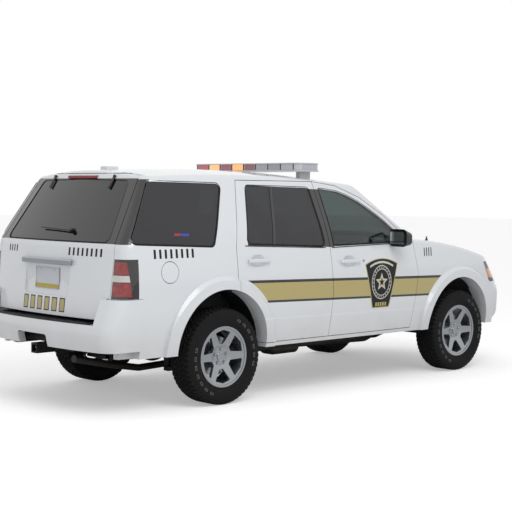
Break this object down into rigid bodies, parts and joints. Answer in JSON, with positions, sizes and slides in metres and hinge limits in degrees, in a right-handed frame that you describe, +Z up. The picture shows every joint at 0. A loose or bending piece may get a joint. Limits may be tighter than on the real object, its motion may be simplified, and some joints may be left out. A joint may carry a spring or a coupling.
{
  "type": "police sport utility vehicle",
  "caption": "Police sport utility vehicle with opening doors, hood and tailgate, steered front wheels, a roof light bar and a full cabin.",
  "frame": {"origin": "on the ground, on the centre line, midway between the front and rear ends", "axes": "+X forward, +Y to the driver's left, +Z up"},
  "size_m": [4.907, 2.1824, 1.865],
  "materials": {
    "paint": "white gloss body paint",
    "privacy_glass": "dark tinted glass, polished",
    "window_glass": "lightly tinted glass, polished",
    "black_trim": "grained black plastic",
    "lamp_lens": "clear moulded lens over a bright reflector",
    "red_lens": "clear red moulded lens",
    "bright_trim": "bright plated",
    "tyre": "black rubber with an all-terrain tread",
    "alloy": "cast and machined, lacquered",
    "chassis_black": "black chassis paint, satin",
    "cast_metal": "as cast",
    "exhaust_steel": "dull steel tube",
    "floor_paint": "dark sealed floor",
    "cabin_plastic": "grained dark grey plastic",
    "seat_cloth": "woven dark grey cloth",
    "bar_plastic": "smooth moulded housing",
    "bar_lens": "clear moulded lens"
  },
  "bodies": {
    "root": {"body_side_left": "paint", "body_side_right": "paint", "fender_left": "paint", "fender_right": "paint", "front_bumper": "paint", "roof_panel": "paint", "quarter_panel_left": "paint", "quarter_panel_right": "paint", "rear_bumper": "paint", "quarter_glass": "privacy_glass", "windscreen": "window_glass", "cowl_panel": "black_trim", "grille": "black_trim", "step_pad": "black_trim", "wheel_liners": "black_trim", "radiator": "black_trim", "roof_antenna": "black_trim", "headlamps": "lamp_lens", "tail_lamps": "red_lens", "front_suspension": "chassis_black", "rear_suspension": "chassis_black", "chassis_frame": "chassis_black", "fuel_tank": "chassis_black", "power_unit": "cast_metal", "exhaust": "exhaust_steel", "driveline": "exhaust_steel", "floor_pan": "floor_paint", "dashboard": "cabin_plastic", "steering_wheel": "cabin_plastic", "front_seats": "seat_cloth", "rear_bench": "seat_cloth", "light_bar": "bar_plastic", "light_bar_lenses": "bar_lens"},
    "front_door_left": {"front_door_left": "paint", "front_door_glass_left": "window_glass", "door_mirror_left": "black_trim"},
    "front_door_right": {"front_door_right": "paint", "front_door_glass_right": "window_glass", "door_mirror_right": "black_trim"},
    "rear_door_left": {"rear_door_left": "paint", "rear_door_glass_left": "privacy_glass"},
    "rear_door_right": {"rear_door_right": "paint", "rear_door_glass_right": "privacy_glass"},
    "tailgate": {"tailgate": "paint", "tailgate_glass": "privacy_glass", "tailgate_fittings": "bright_trim"},
    "hood": {"hood": "paint"},
    "fuel_door": {"fuel_door": "paint"},
    "steering_left": {"front_knuckle_left": "cast_metal"},
    "steering_right": {"front_knuckle_right": "cast_metal"},
    "wheel_front_left": {"tyre_front_left": "tyre", "rim_front_left": "alloy"},
    "wheel_front_right": {"tyre_front_right": "tyre", "rim_front_right": "alloy"},
    "wheel_rear_left": {"tyre_rear_left": "tyre", "rim_rear_left": "alloy"},
    "wheel_rear_right": {"tyre_rear_right": "tyre", "rim_rear_right": "alloy"}
  },
  "joints": [
    {"name": "front_door_left_hinge", "type": "hinge", "parent": "root", "child": "front_door_left", "pos_m": [0.957, 0.917, 0.9], "axis": [0, 0, -1], "range_deg": [0, 66]},
    {"name": "rear_door_left_hinge", "type": "hinge", "parent": "root", "child": "rear_door_left", "pos_m": [-0.137, 0.917, 0.9], "axis": [0, 0, -1], "range_deg": [0, 68]},
    {"name": "front_door_right_hinge", "type": "hinge", "parent": "root", "child": "front_door_right", "pos_m": [0.957, -0.917, 0.9], "axis": [0, 0, 1], "range_deg": [0, 66]},
    {"name": "rear_door_right_hinge", "type": "hinge", "parent": "root", "child": "rear_door_right", "pos_m": [-0.137, -0.917, 0.9], "axis": [0, 0, 1], "range_deg": [0, 68]},
    {"name": "tailgate_hinge", "type": "hinge", "parent": "root", "child": "tailgate", "pos_m": [-1.971, 0, 1.748], "axis": [0, 1, 0], "range_deg": [0, 85]},
    {"name": "hood_hinge", "type": "hinge", "parent": "root", "child": "hood", "pos_m": [0.982, 0, 1.252], "axis": [0, -1, 0], "range_deg": [0, 52]},
    {"name": "fuel_door_hinge", "type": "hinge", "parent": "root", "child": "fuel_door", "pos_m": [-1.767, -0.888, 1.03], "axis": [0, 0, 1], "range_deg": [0, 100]},
    {"name": "steering_left_kingpin", "type": "hinge", "parent": "root", "child": "steering_left", "pos_m": [1.585, 0.69, 0.368], "axis": [0, 0, 1], "range_deg": [-33, 33]},
    {"name": "steering_right_kingpin", "type": "hinge", "parent": "root", "child": "steering_right", "pos_m": [1.585, -0.69, 0.368], "axis": [0, 0, 1], "range_deg": [-33, 33]},
    {"name": "wheel_front_left_spin", "type": "hinge", "parent": "steering_left", "child": "wheel_front_left", "pos_m": [1.585, 0.775, 0.368], "axis": [0, 1, 0], "continuous": true},
    {"name": "wheel_rear_left_spin", "type": "hinge", "parent": "root", "child": "wheel_rear_left", "pos_m": [-1.303, 0.775, 0.368], "axis": [0, 1, 0], "continuous": true},
    {"name": "wheel_front_right_spin", "type": "hinge", "parent": "steering_right", "child": "wheel_front_right", "pos_m": [1.585, -0.775, 0.368], "axis": [0, 1, 0], "continuous": true},
    {"name": "wheel_rear_right_spin", "type": "hinge", "parent": "root", "child": "wheel_rear_right", "pos_m": [-1.303, -0.775, 0.368], "axis": [0, 1, 0], "continuous": true}
  ],
  "couplings": [
    {"joint": "steering_right_kingpin", "follows": "steering_left_kingpin", "ratio": 1}
  ]
}
